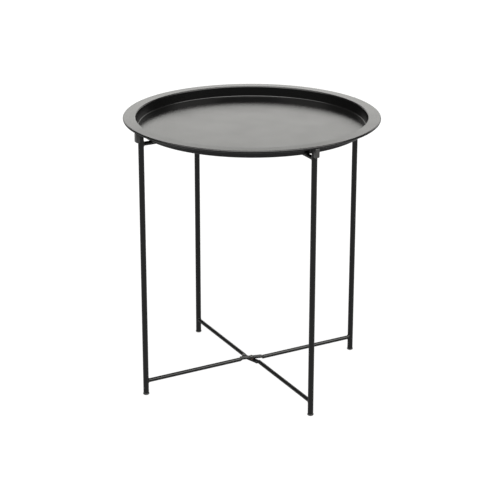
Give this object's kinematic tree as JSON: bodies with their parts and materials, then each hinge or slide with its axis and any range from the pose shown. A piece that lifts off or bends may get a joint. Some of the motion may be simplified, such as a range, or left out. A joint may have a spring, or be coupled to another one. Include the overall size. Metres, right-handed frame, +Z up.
{
  "type": "folding table",
  "caption": "Round tray side table: a pressed steel tray lifts off two crossed tube frames that fold together about riveted crossbars.",
  "frame": {"origin": "on the floor, under the centre of the table and on the line of the two rivets", "axes": "+Z up along the fold axis; frame A's legs stand on the X axis and frame B's on the Y axis, with frame B's front leg at -Y"},
  "size_m": [0.47, 0.47, 0.51],
  "materials": {
    "powder_coat": "satin black powder coat on steel",
    "foot_plastic": "moulded black polyethylene, fine spark texture",
    "clip_plastic": "moulded black nylon, satin",
    "rivet_steel": "dark oxidised steel, cold formed",
    "fibre": "brown vulcanised fibre, matt"
  },
  "bodies": {
    "frame_a": {"frame_a_lower_crossbar": "powder_coat", "frame_a_upper_crossbar": "powder_coat", "frame_a_leg_left": "powder_coat", "frame_a_foot_left": "foot_plastic", "frame_a_clip_left": "clip_plastic", "frame_a_leg_right": "powder_coat", "frame_a_foot_right": "foot_plastic", "frame_a_clip_right": "clip_plastic", "lower_rivet": "rivet_steel", "upper_rivet": "rivet_steel", "lower_washer": "fibre", "upper_washer": "fibre"},
    "frame_b": {"frame_b_lower_crossbar": "powder_coat", "frame_b_upper_crossbar": "powder_coat", "frame_b_leg_front": "powder_coat", "frame_b_foot_front": "foot_plastic", "frame_b_clip_front": "clip_plastic", "frame_b_leg_back": "powder_coat", "frame_b_foot_back": "foot_plastic", "frame_b_clip_back": "clip_plastic"},
    "tray": {"tray": "powder_coat"}
  },
  "joints": [
    {"name": "fold", "type": "hinge", "parent": "frame_a", "child": "frame_b", "pos_m": [0, 0, 0.0272], "axis": [0, 0, 1], "range_deg": [-86.5, 39]},
    {"name": "tray_lift", "type": "slide", "parent": "frame_a", "child": "tray", "axis": [0, 0, 1], "range_m": [0, 0.12]}
  ]
}
